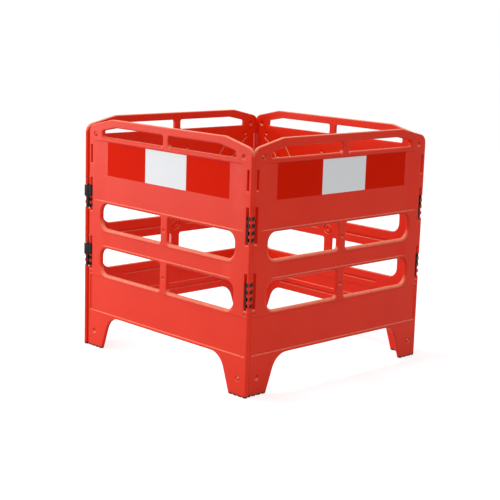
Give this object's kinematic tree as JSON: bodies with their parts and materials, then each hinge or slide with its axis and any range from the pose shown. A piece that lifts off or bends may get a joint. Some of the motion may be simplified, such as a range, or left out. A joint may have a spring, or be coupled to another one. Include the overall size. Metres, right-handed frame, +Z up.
{
  "type": "manhole guard barrier",
  "caption": "Folding square of moulded plastic gates with slots, feet, reflective striped boards and clip-on corner hinges, stood around an open manhole.",
  "frame": {"origin": "on the ground, at the middle of the square", "axes": "+Z up, gate a faces -Y, gate b +X, gate c +Y and gate d -X"},
  "size_m": [1.0416, 1.0416, 1],
  "materials": {
    "gate": "satin moulded",
    "white_sheet": "reflective sheeting",
    "red_sheet": "reflective sheeting",
    "clip": "matt moulded"
  },
  "bodies": {
    "panel_a": {"gate_a": "gate", "white_sheet_a": "white_sheet", "red_sheet_left_a": "red_sheet", "red_sheet_right_a": "red_sheet", "hinge_clip_lower_a": "clip", "hinge_clip_upper_a": "clip"},
    "panel_b": {"gate_b": "gate", "white_sheet_b": "white_sheet", "red_sheet_left_b": "red_sheet", "red_sheet_right_b": "red_sheet", "hinge_clip_lower_b": "clip", "hinge_clip_upper_b": "clip"},
    "panel_c": {"gate_c": "gate", "white_sheet_c": "white_sheet", "red_sheet_left_c": "red_sheet", "red_sheet_right_c": "red_sheet", "hinge_clip_lower_c": "clip", "hinge_clip_upper_c": "clip"},
    "panel_d": {"gate_d": "gate", "white_sheet_d": "white_sheet", "red_sheet_left_d": "red_sheet", "red_sheet_right_d": "red_sheet", "hinge_clip_lower_d": "clip", "hinge_clip_upper_d": "clip"}
  },
  "joints": [
    {"name": "fold_b", "type": "hinge", "parent": "panel_a", "child": "panel_b", "pos_m": [0.50285, -0.48515, 0], "axis": [0, 0, 1], "range_deg": [-88, 88]},
    {"name": "fold_c", "type": "hinge", "parent": "panel_b", "child": "panel_c", "pos_m": [0.48515, 0.50285, 0], "axis": [0, 0, 1], "range_deg": [-88, 88]},
    {"name": "fold_d", "type": "hinge", "parent": "panel_a", "child": "panel_d", "pos_m": [-0.48515, -0.50285, 0], "axis": [0, 0, 1], "range_deg": [-88, 88]}
  ],
  "couplings": [
    {"joint": "fold_c", "follows": "fold_b", "ratio": -1},
    {"joint": "fold_d", "follows": "fold_b", "ratio": 1}
  ]
}
